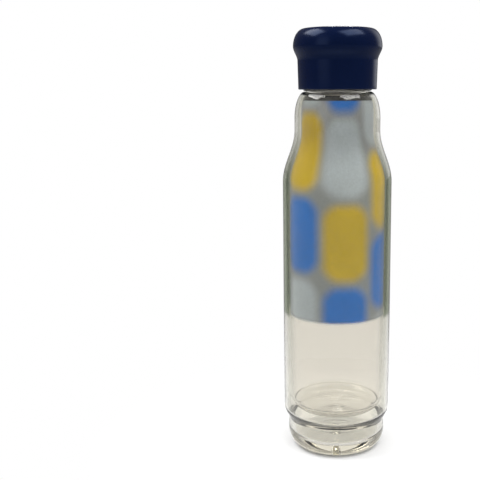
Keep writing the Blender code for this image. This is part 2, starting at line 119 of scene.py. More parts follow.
# Gasket: insets and depths of its upper edges, insets and heights of its lower outer edge, and its bead
GASKET_EDGE = ((0.5, 0.0), (0.15, 0.12), (0.0, 0.5))
GASKET_FOOT = ((0.0, 0.7), (0.2, 0.35), (0.6, 0.25))
GASKET_BEAD, BEAD_SIDES, GASKET_HEEL = (0.75, 0.45), ((1.1, 0.25), (-0.85, 0.35)), 0.5

# Infuser
SLEEVE_R, SLEEVE_BORE, SLEEVE_EDGES = 16.9, 16.3, (0.15, 0.05)
SLEEVE_BASE, SLEEVE_TOP = bottom_of("infuser_collar"), top_of("infuser_collar")
RIB_STAND, RIB_HALF, RIB_SPACING, RIBS, RIB_STEPS = 0.5, 0.8, 2.7, 3, 150
RIB_REACH, RIB_HOLLOW = RIB_HALF * 1.25, 0.75
TUBE_R, TUBE_BORE, TUBE_EDGE = 16.0, 15.5, 0.1
TUBE_BASE, TUBE_TOP = bottom_of("infuser_basket"), top_of("infuser_basket")
# Levels of the mesh in the tube's plain ends, above its base and below its top
FOOT_LEVELS, HEAD_LEVEL = (3.0, 6.5), 2.0
HOLE_R, COLUMNS, ROWS, ROW_SPACING, TOP_ROW = 0.6, 22, 9, 3.2, SLEEVE_BASE - 2.6
# Sides of a hole, and radii and depths of the rings of its dimple
HOLE_SIDES, DIMPLE = 24, ((HOLE_R, 0.12), (HOLE_R + 0.12, 0.05), (HOLE_R + 0.32, 0.0))
RING_BORE, RING_R, RING_ROUND, RING_EDGE = 16.3, 16.8, 0.9, 0.1
LEDGE_BORE, LEDGE_EDGE, LEDGE_H = 14.2, 0.15, 0.5
RING_BASE, RING_TOP = bottom_of("infuser_end_ring"), top_of("infuser_end_ring")
SCREEN_R, SCREEN_BASE, SCREEN_TOP = 15.2, bottom_of("infuser_mesh"), top_of("infuser_mesh")
WIRE_PITCH, WIRE_R, WIRE_SIDES, WIRE_STEPS, WIRE_SHORTEST = 0.95, 0.14, 6, 4, 1.0

# Print: its height, its grid of blocks, the shape of a block, and a dark band of painted shade from the lid
# at the top
PRINT_BASE, PRINT_TOP, BASE_FADE = 89.0, NECK_BASE - 0.2, 3.4
PRINT_COLUMNS, PRINT_ROWS, PRINT_STAGGER, PRINT_TURN = 6, 5, 20.0, 0.18
BLOCK_WIDTH, BLOCK_LENGTH, BLOCK_PITCH, BLOCK_CORNER, SOFT_EDGE = 37.6, 57.0, 52.0, 15.5, 9.0
SHADE_BAND_HEIGHT, SHADE_BAND_EDGE = 3.3, 0.5
# Mesh of the film: its faces over the glass, points round it, and up the body and the crown
FILM_FACES, PRINT_ROUND, PRINT_STEPS = (0.08, 0.04), 240, (150, 25)
# Linear colours of ground, blue, silver and mustard, and of the band of painted shade under the lid
INK_COLOURS = ((0.49, 0.53, 0.57), (0.0, 0.26, 1.0), (0.74, 0.84, 0.95), (0.95, 0.68, 0.004))
SHADE_BAND_COLOUR = (0.010, 0.013, 0.011)
# Cover of the ground's ink, cover at the body and up the neck, and the share lit from behind
GROUND_COVER, INK_COVER, INK_GLOW = 0.9, (1.0, 0.66), 0.1
# Scale of its grain and clouds, and the range of their product against that of its brightness
INK_GRAIN, INK_CLOUD, INK_TONES = 900.0, 30.0, (0.12, 0.4, 0.86, 1.1)

# Glass: tints of both walls and of the vessel's thick floor, which ends between heights over its base
OUTER_TINT, VESSEL_TINT, THICK_TINT = (0.89, 0.875, 0.82), (0.965, 0.955, 0.955), (0.80, 0.785, 0.745)
THICK_SPAN = (3.0, 9.0)
GLASS_IOR, ABSORB_COLOUR, ABSORB_DENSITY = 1.47, (0.74, 0.65, 0.40), 8.0
WAVE_STRETCH, WAVE_SCALE, WAVE_DEPTH = (1, 1, 0.35), 55.0, 0.00003
# Painted shade on the outer wall, a dark tint at grazing angles in place of dark reflections at its edges:
# colour, grazing angles, and shares below the print and at the neck
EDGE_SHADE_COLOUR, EDGE_SHADE_FACING, EDGE_SHADE_BELOW, EDGE_SHADE_ABOVE = (0.07, 0.09, 0.05), (0.42, 0.58), 0.3, 0.55

# Plastics: two colours to drift between, roughness, scale and depth of the grain, other sockets
DRIFT_SCALE, RUB_SCALE = 60.0, 220.0
NAVY = (((0.0012, 0.0040, 0.022), (0.0020, 0.0062, 0.031)), 0.20, 1400.0, 0.000004,
        {"Specular IOR Level": 0.25, "Specular Tint": (0.42, 0.58, 1.0)})
BLACK = (((0.006, 0.006, 0.007), (0.011, 0.011, 0.012)), 0.38, 2200.0, 0.00001, {})
MILKY = (((0.66, 0.66, 0.63), (0.76, 0.76, 0.73)), 0.5, 700.0, 0.00002,
         {"Subsurface Weight": 0.4, "Subsurface Scale": 0.002})
# Steel: two colours, depth of its lines, and their stretch round a ring, along the tube and on wire
STEEL, LINE_DEPTH = ((0.50, 0.49, 0.465), (0.66, 0.65, 0.62)), 0.00004
LINES_ROUND, LINES_ALONG, LINES_WIRE = (60, 60, 2600), (1500, 1500, 40), (900, 900, 900)

# World: light on matt surfaces, and the grey room with white strips that reflections show
WORLD_DIFFUSE, ROOM_LEVEL, STRIP_LEVEL = 1.05, 0.13, 0.87
STRIPS, STRIP_PHASE, STRIP_EDGE, STRIP_FADE = 2.0, radians(140), 0.72, (0.3, 0.8)

# Floor in metres: half its side, where it turns white, and where and how much it darkens outwards
FLOOR_HALF, WHITE_SPAN, WHITE_UNDER = 6.0, (0.04, 0.17), 0.62
PALE_SPAN, PALE_LEVELS = (0.08, 0.35), (0.82, 0.25)

# Lamps: name, place, aim and size in metres, and power in watts
LAMPS = (
    ("key", (-0.75, 0.05, 1.15), (0, 0, 0.2), (0.9, 0.6), 10.0),
    ("fill", (0.50, -0.32, 1.15), (0, 0, 0.2), (0.9, 0.6), 8.4),
    ("spark", (0.02, 0.9, 0.75), (0, 0, 0.25), (0.12, 0.12), 0.5),
)

# Camera: place in metres, yaw, pitch and roll in degrees, focal length in pixels of the photograph
CAMERA_PLACE, CAMERA_TURN = (0, -0.520, 0.2346), (-2.65, -9.52, -0.21)
SENSOR, FOCAL_PIXELS, PHOTO_PIXELS = 36.0, 808.6, 480
CAMERA_SHIFT, CAMERA_CLIP = (-0.125, -0.03), (0.01, 50.0)


# Shapes

def arc(centre, size, start, end, count):
    """Points on an ellipse about centre between two angles in degrees."""
    angles = [radians(start + (end - start) * step / count) for step in range(count + 1)]
    return [(centre[0] + size[0] * cos(a), centre[1] + size[1] * sin(a)) for a in angles]


def rounded(corner, inward, start, end, count):
    """Points on a rounded corner, whose centre lies inward of it by its two radii."""
    centre = (corner[0] + inward[0], corner[1] + inward[1])
    return arc(centre, (abs(inward[0]), abs(inward[1])), start, end, count)


def s_radius(start, end, z):
    """Radius at height z on a smooth S between two (radius, height) points."""
    share = (z - start[1]) / (end[1] - start[1])
    return start[0] + (end[0] - start[0]) * (1 - cos(pi * share)) / 2


def s_curve(start, end, count):
    """Points of the smooth S between two points."""
    heights = [start[1] + (end[1] - start[1]) * step / count for step in range(count + 1)]
    return [(s_radius(start, end, z), z) for z in heights]


def straight(start, end, step):
    """Points on a line, not more than a step apart."""
    length = ((end[0] - start[0]) ** 2 + (end[1] - start[1]) ** 2) ** 0.5
    count = max(1, ceil(length / step))
    return [tuple(a + (b - a) * i / count for a, b in zip(start, end)) for i in range(count + 1)]


def smooth_step(start, end, x):
    """0 below start, 1 above end, smooth between."""
    t = np.clip((x - start) / (end - start), 0, 1)
    return t * t * (3 - 2 * t)


def apart(a, b):
    """Whether two outline points differ."""
    return abs(a[0] - b[0]) + abs(a[1] - b[1]) > SAME


def band(first, second, flip=False):
    """Faces between two closed loops of point numbers, turned over where flipped."""
    faces = []
    for j in range(len(first)):
        k = (j + 1) % len(first)
        face = (first[j], second[j], second[k], first[k])
        faces.append(face[:1] + face[:0:-1] if flip else face)
    return faces


def mesh_piece(name, points, faces, finish, body, node=None, sharp=40):
    """A mesh object in millimetre points that rides on a body, and the node that it replaces."""
    mesh = bpy.data.meshes.new(name)
    mesh.from_pydata((np.asarray(points) * MM).tolist(), [], faces)
    mesh.validate()
    mesh.shade_smooth()
    mesh.set_sharp_from_angle(angle=radians(sharp))
    mesh.materials.append(finish)
    piece = bpy.data.objects.new(name, mesh)
    bpy.context.scene.collection.objects.link(piece)
    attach(piece, body)
    if node:
        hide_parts(node)
    return piece


def turned(name, outline, finish, body, node, closed=True, segments=ROUND, shape=None, sharp=40):
    """A piece turned about Z. The outline's (radius, height) points run down its outer side."""
    outline = [p for i, p in enumerate(outline) if i == 0 or apart(p, outline[i - 1])]
    if closed and not apart(outline[0], outline[-1]):
        outline = outline[:-1]
    angles = np.arange(segments) * 2 * pi / segments
    points, rows = [], []
    for radius, height in outline:
        if radius < SAME:
            rows.append([len(points)] * segments)
            points.append((0, 0, height))
            continue
        radii = np.full(segments, radius) if shape is None else shape(radius, height, angles)
        rows.append(list(range(len(points), len(points) + segments)))
        points.extend(zip(radii * np.cos(angles), radii * np.sin(angles), np.full(segments, height)))
    faces = []
    for upper, lower in list(zip(rows, rows[1:])) + ([(rows[-1], rows[0])] if closed else []):
        for face in band(upper, lower):
            face = [v for i, v in enumerate(face) if v != face[i - 1]]
            if len(face) > 2:
                faces.append(face)
    return mesh_piece(name, points, faces, finish, body, node, sharp)


# Materials

class Nodes:
    """Adds nodes to a tree. An input is a number, a colour or vector, or a socket to link."""

    def __init__(self, tree):
        self.tree = tree

    def put(self, node, inputs):
        """Sets or links a node's inputs, by name or by place."""
        for key, value in inputs.items():
            socket = node.inputs[key]
            if isinstance(value, bpy.types.NodeSocket):
                self.tree.links.new(value, socket)
            else:
                socket.default_value = (*value, 1.0) if socket.type == "RGBA" else value

    def add(self, kind, inputs=None, **settings):
        """A new node."""
        node = self.tree.nodes.new(kind)
        for key, value in settings.items():
            setattr(node, key, value)
        self.put(node, inputs or {})
        return node

    def show(self, kind, shader):
        """Gives the material its Surface or Volume."""
        self.put(self.tree.nodes["Material Output"], {kind: shader})

    def maths(self, operation, a, b=0.0):
        """The result of an operation on one or two numbers."""
        return self.add("ShaderNodeMath", {0: a, 1: b}, operation=operation).outputs[0]

    def remap(self, value, start, end, low=0.0, high=1.0, way="LINEAR"):
        """The value's place between start and end, taken to between low and high."""
        inputs = {0: value, 1: start, 2: end, 3: low, 4: high}
        return self.add("ShaderNodeMapRange", inputs, interpolation_type=way).outputs[0]

    def mix(self, share, a, b):
        """A number between two numbers."""
        return self.add("ShaderNodeMix", {0: share, 2: a, 3: b}).outputs[0]

    def mix_colours(self, share, a, b, way="MIX"):
        """A colour between two colours."""
        inputs = {0: share, 6: a, 7: b}
        return self.add("ShaderNodeMix", inputs, data_type="RGBA", blend_type=way).outputs[2]

    def mix_shaders(self, share, a, b):
        """A shader between two shaders."""
        return self.add("ShaderNodeMixShader", {0: share, 1: a, 2: b}).outputs[0]

    def stretched(self, place, stretch):
        """Coordinates stretched by an (x, y, z) scale."""
        return self.add("ShaderNodeMapping", {"Scale": stretch, "Vector": place}).outputs["Vector"]

    def noise(self, place, scale, detail, roughness=0.5):
        """Noise between 0 and 1."""
        inputs = {"Scale": scale, "Detail": detail, "Roughness": roughness, "Vector": place}
        return self.add("ShaderNodeTexNoise", inputs).outputs["Fac"]

    def bump(self, height, depth, strength=1.0):
        """A normal for relief of a depth in metres."""
        inputs = {"Strength": strength, "Distance": depth, "Height": height}
        return self.add("ShaderNodeBump", inputs).outputs["Normal"]

    def seen_white(self):
        """Whether the camera sees a place, directly or through glass, and whether through glass."""
        path = self.add("ShaderNodeLightPath").outputs
        through = path["Is Transmission Ray"]
        return self.maths("MAXIMUM", path["Is Camera Ray"], through), through


def new_material(name):
    """A new material, its nodes, its Principled shader and its object coordinates."""
    made = bpy.data.materials.new(name)
    made.use_nodes = True
    nodes = Nodes(made.node_tree)
    place = nodes.add("ShaderNodeTexCoord").outputs["Object"]
    return made, nodes, made.node_tree.nodes["Principled BSDF"], place


def clear_glass(name, tint, edge_shade=None, thick=None):
    """Borosilicate glass, faintly wavy.

    Edge shade is painted shade: a dark tint at grazing angles, strongest beside the print. Thick is the tint
    of a heavy floor.
    """
    made, nodes, shader, place = new_material(name)
    wave = nodes.bump(nodes.noise(nodes.stretched(place, WAVE_STRETCH), WAVE_SCALE, 1.0), WAVE_DEPTH)
    absorbed = {"Color": ABSORB_COLOUR, "Density": ABSORB_DENSITY}
    nodes.show("Volume", nodes.add("ShaderNodeVolumeAbsorption", absorbed).outputs["Volume"])
    height = nodes.add("ShaderNodeSeparateXYZ", {0: place}).outputs["Z"]
    colour = tint
    if edge_shade:
        # Painted shade: the tint turns dark towards grazing angles, in place of dark reflections at the
        # wall's edges
        grazing = nodes.add("ShaderNodeLayerWeight", {"Blend": 0.5}).outputs["Facing"]
        below = nodes.remap(height, PRINT_BASE * MM, (PRINT_BASE + BASE_FADE) * MM, EDGE_SHADE_BELOW)
        above = nodes.remap(height, BODY_TOP * MM, SHOULDER_TOP * MM, 1.0, EDGE_SHADE_ABOVE)
        beside = nodes.maths("MULTIPLY", below, above)
        share = nodes.maths("MULTIPLY", beside, nodes.remap(grazing, *EDGE_SHADE_FACING))
        colour = nodes.mix_colours(share, tint, edge_shade)
    if thick:
        start, end = ((VESSEL_BASE + rise) * MM for rise in THICK_SPAN)
        colour = nodes.mix_colours(nodes.remap(height, start, end, 1.0, 0.0), tint, thick)
    nodes.put(shader, {"Base Color": colour, "Roughness": 0.0, "IOR": GLASS_IOR,
                       "Transmission Weight": 1.0, "Normal": wave})
    return made


def plastic(name, colours, roughness, grain, depth, others):
    """Moulded plastic: slight drift between two colours, uneven gloss and a fine surface grain."""
    made, nodes, shader, place = new_material(name)
    drift = nodes.mix_colours(nodes.noise(place, DRIFT_SCALE, 3.0), *colours)
    rubbed = nodes.noise(place, RUB_SCALE, 4.0)
    gloss = nodes.remap(rubbed, 0.0, 1.0, roughness * 0.8, roughness * 1.25)
    fine = nodes.bump(nodes.noise(place, grain, 2.0), depth)
    nodes.put(shader, {"Base Color": drift, "Roughness": gloss, "Normal": fine, **others})
    return made


def steel(name, roughness, stretch):
    """Stainless sheet with fine drawing lines, stretched by an (x, y, z) scale."""
    made, nodes, shader, place = new_material(name)
    streak = nodes.noise(nodes.stretched(place, stretch), 1.0, 4.0)
    gloss = nodes.remap(streak, 0.0, 1.0, roughness * 0.7, roughness * 1.4)
    nodes.put(shader, {"Base Color": nodes.mix_colours(streak, *STEEL), "Metallic": 1.0, "Roughness": gloss,
                       "Anisotropic": 0.35, "Normal": nodes.bump(streak, LINE_DEPTH, 0.25)})
    return made


def ink(name):
    """Translucent screen ink in painted colours, with a band of painted shade at the top: grainy, and more
    see-through up the neck.
    """
    made, nodes, shader, place = new_material(name)
    grain = nodes.noise(place, INK_GRAIN, 3.0, 0.7)
    cloud = nodes.noise(place, INK_CLOUD, 2.0)
    tone = nodes.remap(nodes.maths("MULTIPLY", grain, cloud), *INK_TONES)
    paint = nodes.add("ShaderNodeAttribute", attribute_name="ink_and_shade_colour").outputs["Color"]
    colour = nodes.mix_colours(1.0, paint, tone, "MULTIPLY")
    height = nodes.add("ShaderNodeSeparateXYZ", {0: place}).outputs["Z"]
    thinned = nodes.remap(height, VESSEL_TOP * MM, INNER_COLLAR_Z * MM, *INK_COVER)
    layer = nodes.add("ShaderNodeAttribute", attribute_name="ink_cover").outputs["Fac"]
    cover = nodes.maths("MULTIPLY", thinned, layer)
    nodes.put(shader, {"Base Color": colour, "Alpha": cover, "Roughness": 0.32,
                       "Specular IOR Level": 0.2, "Normal": nodes.bump(grain, 0.00002, 0.4)})
    behind = nodes.add("ShaderNodeBsdfTranslucent", {"Color": colour}).outputs[0]
    clear = nodes.add("ShaderNodeBsdfTransparent").outputs[0]
    veil = nodes.mix_shaders(cover, clear, behind)
    nodes.show("Surface", nodes.mix_shaders(INK_GLOW, shader.outputs[0], veil))
    return made


# The glass pieces

def vessel_radius(z):
    """Outside radius of the inner glass at a height."""
    if z <= VESSEL_TOP:
        return VESSEL_R
    if z <= INNER_COLLAR_Z:
        return s_radius((VESSEL_R, VESSEL_TOP), (INNER_COLLAR_R, INNER_COLLAR_Z), z)
    if z <= INNER_CROWN_BASE:
        return INNER_COLLAR_R
    rise = min((z - INNER_CROWN_BASE) / INNER_CROWN_H, 1.0)
    return NECK_R + (INNER_COLLAR_R - NECK_R) * (1 - rise ** 2) ** 0.5


def thread(height, angles, phase, start, end):
    """Height of the thread's crest over its core, 0 to 1, at a height and at angles round the axis."""
    turn = (height - LEAD * angles / (2 * pi)) / PITCH + phase
    crest = smooth_step(0.0, FLANK, CREST_HALF - np.abs(turn - np.round(turn)))
    ends = smooth_step(start, start + RUN_OUT, height) * (1 - smooth_step(end - RUN_OUT, end, height))
    return crest * ends


def neck_shape(radius, height, angles):
    """The neck's thread, on the outside only."""
    if abs(radius - NECK_R) > SAME or not BEAD_TOP < height < MOUTH_TOP:
        return np.full(len(angles), radius)
    return radius + THREAD_DEPTH * thread(height, angles, 0.0, *NECK_THREAD)


def liner_shape(radius, height, angles):
    """The liner's thread, in its bore."""
    if abs(radius - LINER_BORE) > SAME or not LINER_BASE + PLAIN_BORE < height < CEILING_BASE:
        return np.full(len(angles), radius)
    return radius - THREAD_DEPTH * thread(height, angles, 0.5, *LINER_THREAD)


def outer_glass(finish):
    """Crown, collar, shoulder, body, stepped foot and thick base."""
    neck, hole = NECK_R + GAP, SEAL_R + GAP
    ring_out = FOOT_R - FOOT_ROUND[0]
    bore, foot_bore, collar_bore = BODY_R - WALL, FOOT_R - FOOT_WALL, COLLAR_R - WALL
    crown = (COLLAR_R - CROWN_FLAT, CROWN_TOP - CROWN_BASE)
    inner_crown = (crown[0] - WALL, crown[1] - WALL)
    outline = [(neck, CROWN_TOP - CROWN_EDGE), (neck + CROWN_EDGE, CROWN_TOP)]
    outline += arc((CROWN_FLAT, CROWN_BASE), crown, 90, 0, 28)
    outline += s_curve((COLLAR_R, SHOULDER_TOP), (BODY_R, BODY_TOP), 24)
    outline += s_curve((BODY_R, STEP_TOP), (FOOT_R, FOOT_TOP), 16)
    outline += arc((ring_out, FOOT_ROUND[1]), FOOT_ROUND, 0, -90, 20)
    outline += [(ring_out - REST_RING, 0), (hole, PUSH_UP), (hole, BASE_TOP)]
    outline += rounded((foot_bore, BASE_TOP), (-BASE_CORNER, BASE_CORNER), -90, 0, 12)
    outline += s_curve((foot_bore, FOOT_TOP), (bore, STEP_TOP), 16)
    outline += s_curve((bore, BODY_TOP), (collar_bore, SHOULDER_TOP), 24)
    outline += arc((CROWN_FLAT, CROWN_BASE), inner_crown, 0, 90, 16)
    outline.append((neck, CROWN_TOP - WALL))
    turned("bottle_outer_glass", outline, finish, "bottle", "outer_glass", sharp=50)


def inner_glass(finish):
    """The vessel, with its bead, its threaded neck and its rounded mouth."""
    corner, floor_top = VESSEL_CORNER - WALL, VESSEL_BASE + WALL
    centre = (VESSEL_R - VESSEL_CORNER, VESSEL_BASE + VESSEL_CORNER)
    outline = [(0, floor_top)]
    for radius in np.arange(RIPPLE_PITCH, centre[0], RIPPLE_PITCH / RIPPLE_STEPS):
        outline.append((radius, floor_top - RIPPLE_DEPTH * (1 - cos(2 * pi * radius / RIPPLE_PITCH)) / 2))
    for turn in range(-90, 1):
        size = corner - RIDGE_HEIGHT * exp(-((turn - RIDGE_TURN) / RIDGE_SPREAD) ** 2)
        outline.append((centre[0] + size * cos(radians(turn)), centre[1] + size * sin(radians(turn))))
    outline += s_curve((VESSEL_R - WALL, VESSEL_TOP), (INNER_COLLAR_R - WALL, INNER_COLLAR_Z), 24)
    outline += arc((BORE_R, INNER_CROWN_BASE), (INNER_COLLAR_R - WALL - BORE_R, INNER_CROWN_H), 0, 90, 24)
    outline += rounded((BORE_R, MOUTH_TOP), (LIP_ROUND, -LIP_ROUND), 180, 90, 6)
    outline += rounded((NECK_R, MOUTH_TOP), (-LIP_ROUND, -LIP_ROUND), 90, 0, 6)
    outline += straight((NECK_R, MOUTH_TOP - LIP_HEIGHT), (NECK_R, BEAD_TOP + FILLET), THREAD_STEP)
    outline += rounded((NECK_R, BEAD_TOP), (FILLET, FILLET), 180, 270, 4)
    outline += rounded((BEAD_R, BEAD_TOP), (-BEAD_ROUND, -BEAD_ROUND), 90, 0, 8)
    outline += rounded((BEAD_R, BEAD_BASE), (-BEAD_ROUND, BEAD_ROUND), 0, -90, 8)
    outline.append((NECK_R, BEAD_BASE))
    outline += arc((NECK_R, INNER_CROWN_BASE), (INNER_COLLAR_R - NECK_R, INNER_CROWN_H), 90, 0, 32)
    outline += s_curve((INNER_COLLAR_R, INNER_COLLAR_Z), (VESSEL_R, VESSEL_TOP), 24)
    outline += arc(centre, (VESSEL_CORNER, VESSEL_CORNER), 0, -90, 20)
    outline.append((0, VESSEL_BASE))
    turned("bottle_inner_glass", outline, finish, "bottle", "inner_glass",
           closed=False, shape=neck_shape, sharp=50)


def glass_seal(finish):
    """The melted bead that closes the evacuation hole."""
    head = PUSH_UP - GAP
    outline = [(radius, BASE_TOP - depth) for radius, depth in SEAL_DOME]
    outline += rounded((SEAL_R, head), (SEAL_FILLET, SEAL_FILLET), 180, 270, 4)
    outline += arc((0, head), SEAL_HEAD, 0, -90, 10)
    turned("bottle_glass_seal", outline, finish, "bottle", "evacuation_seal",
           closed=False, segments=SEAL_SEGMENTS)


def print_and_shade_pattern(around, up):
    """Colour and cover of the print, and of the band of painted shade at its top, at turns in radians and
    heights.
    """
    paint = np.ones(around.shape + (3,)) * INK_COLOURS[0]
    cover = np.full(around.shape, GROUND_COVER)
    for column in range(PRINT_COLUMNS):
        middle = 2 * pi * column / PRINT_COLUMNS - pi / 2 + PRINT_TURN
        sideways = np.abs(np.mod(around - middle + pi, 2 * pi) - pi) * VESSEL_R
        out = sideways - BLOCK_WIDTH / 2 + BLOCK_CORNER
        for row in range(PRINT_ROWS):
            level = PRINT_BASE + row * BLOCK_PITCH - (column * PRINT_STAGGER) % BLOCK_PITCH
            past = np.abs(up - level) - BLOCK_LENGTH / 2 + BLOCK_CORNER
            corner = np.hypot(np.maximum(out, 0), np.maximum(past, 0))
            inside = BLOCK_CORNER - corner - np.minimum(np.maximum(out, past), 0)
            mask = smooth_step(0.0, SOFT_EDGE, inside)
            paint += mask[..., None] * (np.array(INK_COLOURS[1 + (column + 2 * row) % 3]) - paint)
            cover += mask * (1 - cover)
    cover *= smooth_step(PRINT_BASE, PRINT_BASE + BASE_FADE, up)
    # Painted shade: a dark, opaque band at the top of the film stands in for the lid's shade and the dark
    # liner's reflection on the neck
    shade_band_base = PRINT_TOP - SHADE_BAND_HEIGHT
    shade_band = smooth_step(shade_band_base, shade_band_base + SHADE_BAND_EDGE, up)
    paint += shade_band[..., None] * (np.array(SHADE_BAND_COLOUR) - paint)
    cover += shade_band * (1 - cover)
    return paint, cover


def print_and_shade_film(finish):
    """An ink film on the inner glass, with soft-edged staggered blocks on a grey ground and a dark band of
    painted shade at its top.
    """
    body = np.linspace(PRINT_BASE, INNER_CROWN_BASE, PRINT_STEPS[0])
    crown = np.linspace(INNER_CROWN_BASE, PRINT_TOP, PRINT_STEPS[1])
    heights = np.append(body, crown[1:])
    around, up = np.meshgrid(np.arange(PRINT_ROUND) * 2 * pi / PRINT_ROUND, heights)
    radii = np.array([vessel_radius(z) for z in heights])[:, None]
    points = []
    for over in FILM_FACES:
        r = radii + over
        points.extend(np.stack([r * np.cos(around), r * np.sin(around), up], axis=-1).reshape(-1, 3))
    outside, inside = np.arange(len(points)).reshape(2, *around.shape).tolist()
    faces = band(outside[0], inside[0]) + band(outside[-1], inside[-1], flip=True)
    for lower in range(len(heights) - 1):
        faces += band(outside[lower], outside[lower + 1], flip=True)
        faces += band(inside[lower], inside[lower + 1])
    mesh = mesh_piece("glass_print_and_shade", points, faces, finish, "bottle").data
    paint, cover = print_and_shade_pattern(around, up)
    colours = np.concatenate([paint, np.ones(around.shape + (1,))], axis=-1).reshape(-1, 4)
    painted = mesh.attributes.new("ink_and_shade_colour", "FLOAT_COLOR", "POINT")
    painted.data.foreach_set("color", np.tile(colours, (2, 1)).ravel())
    covered = mesh.attributes.new("ink_cover", "FLOAT", "POINT")
    covered.data.foreach_set("value", np.tile(cover.ravel(), 2))


# The lid

def lid_cap(finish):
    """The gloss cap: drafted skirt, flare, and a rounded head with a slightly dished top."""
    centre = (CAP_R - CAP_ROUND, FLARE_TOP)
    size = (CAP_ROUND, CAP_TOP - FLARE_TOP)
    outline = [(radius, CAP_TOP - depth) for radius, depth in CAP_DISH]
    outline += arc(centre, size, 88, 0, 28)
    outline += s_curve((CAP_R, FLARE_TOP), (SKIRT_TOP_R, SKIRT_TOP), 24)
    outline += straight((SKIRT_TOP_R, SKIRT_TOP), (SKIRT_R, LID_BASE + SKIRT_ROUND), 2.0)
    outline += rounded((SKIRT_R, LID_BASE), (-SKIRT_ROUND, SKIRT_ROUND), 0, -90, 8)
    outline += [(SHELL_BORE + CHAMFER, LID_BASE), (SHELL_BORE, LID_BASE + CHAMFER)]
    outline += [(SHELL_BORE, SNAP_BASE - GAP), (CAVITY_R, SNAP_BASE - GAP)]
    outline += s_curve((CAVITY_R, SNAP_BASE + CAVITY_RISE), (CAP_R - CAP_WALL, FLARE_TOP), 10)
    outline += arc(centre, (size[0] - CAP_WALL, size[1] - CAP_WALL), 0, 90, 12)
    outline.append((0, CAP_TOP - CAP_WALL))
    turned("lid_cap", outline, finish, "lid", "lid_shell",
           closed=False, segments=CAP_SEGMENTS)


def lid_lining(finish):
    """The liner: snap rim, threaded bore, ceiling and the boss for the infuser."""
    outline = [(0, CEILING_TOP), (SNAP_R - SNAP_CHAMFER, CEILING_TOP), (SNAP_R, CEILING_TOP - SNAP_CHAMFER)]
    outline += [(SNAP_R, SNAP_BASE), (LINER_R, SNAP_BASE)]
    outline += rounded((LINER_R, LINER_BASE), (-FILLET, FILLET), 0, -90, 4)
    outline += rounded((LINER_BORE, LINER_BASE), (LEAD_IN, LEAD_IN), 270, 180, 5)
    bore_top = (LINER_BORE, CEILING_BASE - CEILING_FILLET)
    outline += straight((LINER_BORE, LINER_BASE + PLAIN_BORE), bore_top, THREAD_STEP)
    outline += rounded((LINER_BORE, CEILING_BASE), (-CEILING_FILLET, -CEILING_FILLET), 0, 90, 4)
    outline += [(BOSS_R, CEILING_BASE), (BOSS_R, GRIP_TOP + GAP), (GROOVE_R, GRIP_TOP + GAP)]
    outline += [(GROOVE_R, GRIP_BASE - GAP), (BOSS_R, GRIP_BASE - GAP)]
    outline += rounded((BOSS_R, BOSS_BASE), (-BOSS_ROUND, BOSS_ROUND), 0, -90, 5)
    outline += [(BOSS_BORE + CHAMFER, BOSS_BASE), (BOSS_BORE, BOSS_BASE + CHAMFER)]
    outline += [(BOSS_BORE, CEILING_BASE - FILLET), (BOSS_BORE - FILLET, CEILING_BASE), (0, CEILING_BASE)]
    turned("lid_lining", outline, finish, "lid", "lid_liner",
           closed=False, shape=liner_shape)


def seal_ring(finish):
    """The gasket, with a raised sealing bead over the mouth."""
    inner, outer = BORE_R, LINER_BORE - GAP
    middle = (BORE_R + NECK_R) / 2
    sides = [(middle + off, GASKET_BASE + rise) for off, rise in BEAD_SIDES]
    outline = [(outer - inset, GASKET_TOP - depth) for inset, depth in GASKET_EDGE]
    outline += [(outer - inset, GASKET_BASE + rise) for inset, rise in GASKET_FOOT]
    outline.append(sides[0])
    outline += arc((middle, GASKET_BASE + GASKET_BEAD[1]), GASKET_BEAD, -10, -170, 8)
    outline += [sides[1], (inner, GASKET_BASE + GASKET_HEEL)]
    outline += [(inner + inset, GASKET_TOP - depth) for inset, depth in reversed(GASKET_EDGE)]
    turned("lid_seal_ring", outline, finish, "gasket", "lid_gasket", segments=RING_SEGMENTS)


def grip_band(finish):
    """The silicone ring in the boss's groove, with two rounded ridges."""
    outline = [(GRIP_IN + CHAMFER, GRIP_TOP)]
    for centre in (GRIP_TOP - GRIP_INSET, GRIP_BASE + GRIP_INSET):
        outline += arc((GRIP_OUT - GRIP_RIDGE, centre), (GRIP_RIDGE, GRIP_RIDGE), 80, -80, 8)
    outline += [(GRIP_IN + CHAMFER, GRIP_BASE), (GRIP_IN, GRIP_BASE + CHAMFER), (GRIP_IN, GRIP_TOP - CHAMFER)]
    turned("lid_grip_band", outline, finish, "lid", "grip_ring", segments=RING_SEGMENTS)


# The infuser

def rib_bulge(z):
    """How far the ribs stand out of the collar at a height."""
    middles = [SLEEVE_BASE + FILLET + RIB_HALF + index * RIB_SPACING for index in range(RIBS)]
    near = min(abs(z - middle) for middle in middles)
    return RIB_STAND * (1 + cos(pi * near / RIB_REACH)) / 2 if near < RIB_REACH else 0.0


def infuser_sleeve(finish):
    """The collar that pushes onto the boss, with rolled ribs."""
    upper, lower = SLEEVE_EDGES
    heights = np.linspace(SLEEVE_TOP - FILLET, SLEEVE_BASE + FILLET, RIB_STEPS)
    outline = [(SLEEVE_BORE + upper, SLEEVE_TOP)]
    outline += rounded((SLEEVE_R, SLEEVE_TOP), (-CHAMFER, -CHAMFER), 90, 0, 4)
    outline += [(SLEEVE_R + rib_bulge(z), z) for z in heights]
    outline += rounded((SLEEVE_R, SLEEVE_BASE), (-FILLET, FILLET), 0, -90, 4)
    outline += [(SLEEVE_BORE + lower, SLEEVE_BASE), (SLEEVE_BORE, SLEEVE_BASE + lower)]
    outline += [(SLEEVE_BORE + rib_bulge(z) * RIB_HOLLOW, z) for z in heights[::-1]]
    outline.append((SLEEVE_BORE, SLEEVE_TOP - upper))
    turned("infuser_sleeve", outline, finish, "infuser", "infuser_collar", sharp=50)


